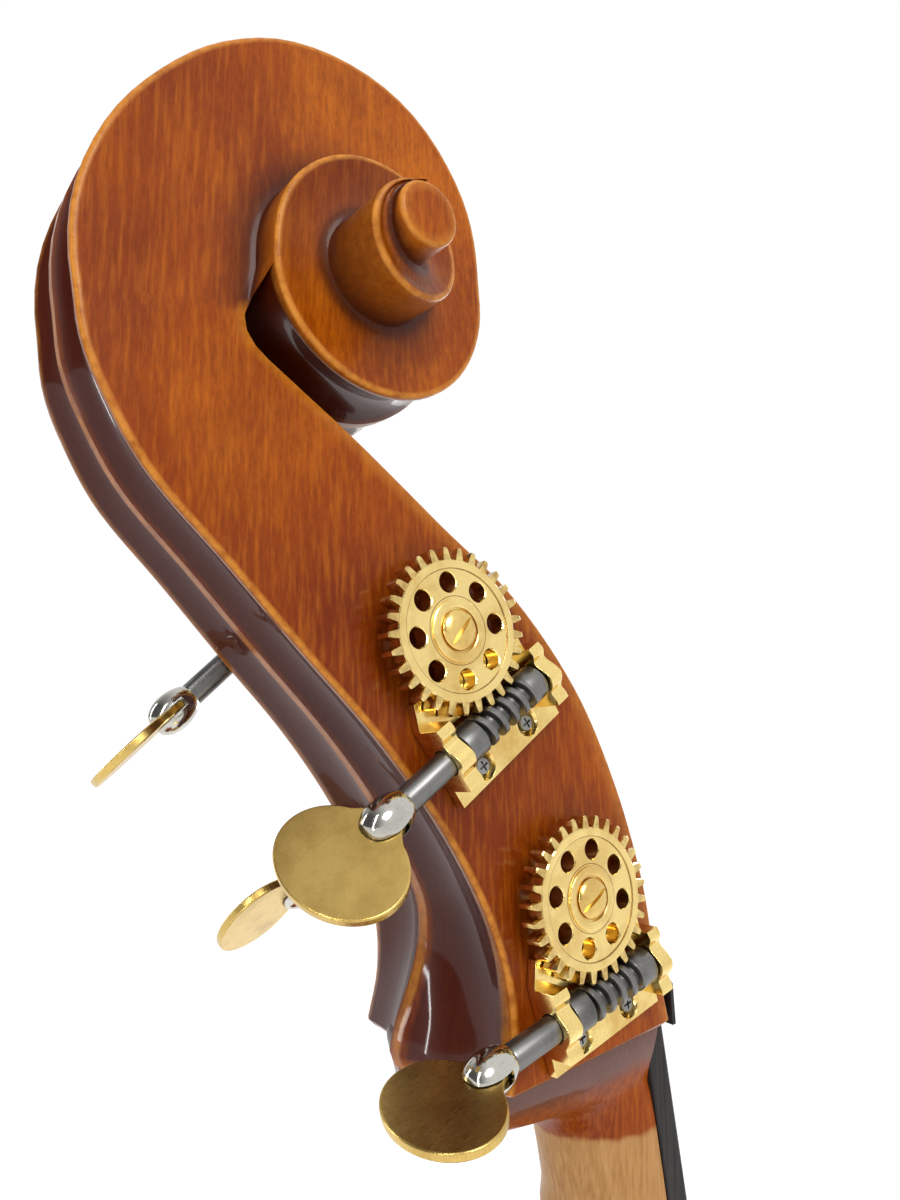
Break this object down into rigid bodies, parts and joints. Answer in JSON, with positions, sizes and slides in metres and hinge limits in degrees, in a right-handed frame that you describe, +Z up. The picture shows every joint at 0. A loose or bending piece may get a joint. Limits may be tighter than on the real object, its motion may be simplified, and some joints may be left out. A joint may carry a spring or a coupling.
{
  "type": "double bass",
  "caption": "Upright double bass with a carved scroll head, worm-gear tuning machines, arched plates, bridge, tailpiece and sliding endpin.",
  "frame": {"origin": "middle of the endpin tip's flat end, which stands on the floor", "axes": "+Z up along the height of the instrument; the top plate and strings face -Y; the bass side (E and A strings) is at -X"},
  "size_m": [0.67, 0.3987, 1.9293],
  "materials": {
    "varnished_maple": "gloss orange-brown spirit varnish",
    "varnished_spruce": "gloss orange-brown varnish",
    "bare_maple": "oiled",
    "raw_spruce": "unfinished",
    "ebony": "polished",
    "dark_wood": "satin",
    "brass": "polished",
    "satin_brass": "brushed",
    "steel": "turned",
    "nickel": "polished",
    "string_steel": "flat wound",
    "rubber": "matt"
  },
  "bodies": {
    "instrument": {"neck_and_scroll": "varnished_maple", "fingerboard": "ebony", "nut": "ebony", "top_plate": "varnished_spruce", "back_plate": "varnished_maple", "rib_lower_bass": "varnished_maple", "rib_centre_bass": "varnished_maple", "rib_upper_bass": "varnished_maple", "corner_block_lower_bass": "raw_spruce", "corner_block_upper_bass": "raw_spruce", "rib_lower_treble": "varnished_maple", "rib_centre_treble": "varnished_maple", "rib_upper_treble": "varnished_maple", "corner_block_lower_treble": "raw_spruce", "corner_block_upper_treble": "raw_spruce", "top_block": "varnished_maple", "bottom_block": "raw_spruce", "bass_bar": "raw_spruce", "sound_post": "raw_spruce", "bridge": "bare_maple", "tailpiece": "ebony", "tail_wire": "steel", "saddle": "ebony", "endpin_socket": "ebony", "machine_plate_e": "brass", "string_e": "string_steel", "machine_plate_a": "brass", "string_a": "string_steel", "machine_plate_d": "brass", "string_d": "string_steel", "machine_plate_g": "brass", "string_g": "string_steel"},
    "key_e": {"worm_shaft_e": "steel", "key_ferrule_e": "nickel", "key_disc_e": "satin_brass"},
    "wheel_e": {"worm_wheel_e": "brass", "wheel_screw_e": "brass", "roller_e": "dark_wood"},
    "key_a": {"worm_shaft_a": "steel", "key_ferrule_a": "nickel", "key_disc_a": "satin_brass"},
    "wheel_a": {"worm_wheel_a": "brass", "wheel_screw_a": "brass", "roller_a": "dark_wood"},
    "key_d": {"worm_shaft_d": "steel", "key_ferrule_d": "nickel", "key_disc_d": "satin_brass"},
    "wheel_d": {"worm_wheel_d": "brass", "wheel_screw_d": "brass", "roller_d": "dark_wood"},
    "key_g": {"worm_shaft_g": "steel", "key_ferrule_g": "nickel", "key_disc_g": "satin_brass"},
    "wheel_g": {"worm_wheel_g": "brass", "wheel_screw_g": "brass", "roller_g": "dark_wood"},
    "endpin": {"endpin_rod": "steel", "endpin_tip": "rubber"},
    "thumbscrew": {"endpin_thumbscrew": "steel"}
  },
  "joints": [
    {"name": "key_turn_e", "type": "hinge", "parent": "instrument", "child": "key_e", "pos_m": [-0.03955, -0.03906, 1.67179], "axis": [0.0131, -0.9664, 0.2566], "continuous": true},
    {"name": "wheel_turn_e", "type": "hinge", "parent": "instrument", "child": "wheel_e", "pos_m": [-0.0376, -0.03243, 1.69665], "axis": [-0.997, 0.0068, 0.0765], "continuous": true},
    {"name": "key_turn_a", "type": "hinge", "parent": "instrument", "child": "key_a", "pos_m": [-0.03357, -0.00447, 1.74675], "axis": [0.0378, -0.8233, 0.5664], "continuous": true},
    {"name": "wheel_turn_a", "type": "hinge", "parent": "instrument", "child": "wheel_a", "pos_m": [-0.03185, 0.01017, 1.76792], "axis": [-0.997, 0.0068, 0.0765], "continuous": true},
    {"name": "key_turn_d", "type": "hinge", "parent": "instrument", "child": "key_d", "pos_m": [0.031, 0.02867, 1.77727], "axis": [0.0488, 0.7122, -0.7003], "continuous": true},
    {"name": "wheel_turn_d", "type": "hinge", "parent": "instrument", "child": "wheel_d", "pos_m": [0.02947, 0.04678, 1.79558], "axis": [0.997, 0.0068, 0.0765], "continuous": true},
    {"name": "key_turn_g", "type": "hinge", "parent": "instrument", "child": "key_g", "pos_m": [0.03648, -0.02414, 1.71056], "axis": [0.0261, 0.9064, -0.4216], "continuous": true},
    {"name": "wheel_turn_g", "type": "hinge", "parent": "instrument", "child": "wheel_g", "pos_m": [0.03462, -0.01325, 1.73387], "axis": [0.997, 0.0068, 0.0765], "continuous": true},
    {"name": "endpin_slide", "type": "slide", "parent": "instrument", "child": "endpin", "axis": [0, 0, 1], "range_m": [-0.2, 0.055]},
    {"name": "thumbscrew_turn", "type": "hinge", "parent": "instrument", "child": "thumbscrew", "pos_m": [0, -0.02, 0.094], "axis": [0, -1, 0], "range_deg": [0, 270]}
  ],
  "couplings": [
    {"joint": "wheel_turn_e", "follows": "key_turn_e", "ratio": -0.034483},
    {"joint": "wheel_turn_a", "follows": "key_turn_a", "ratio": -0.034483},
    {"joint": "wheel_turn_d", "follows": "key_turn_d", "ratio": -0.034483},
    {"joint": "wheel_turn_g", "follows": "key_turn_g", "ratio": -0.034483}
  ]
}
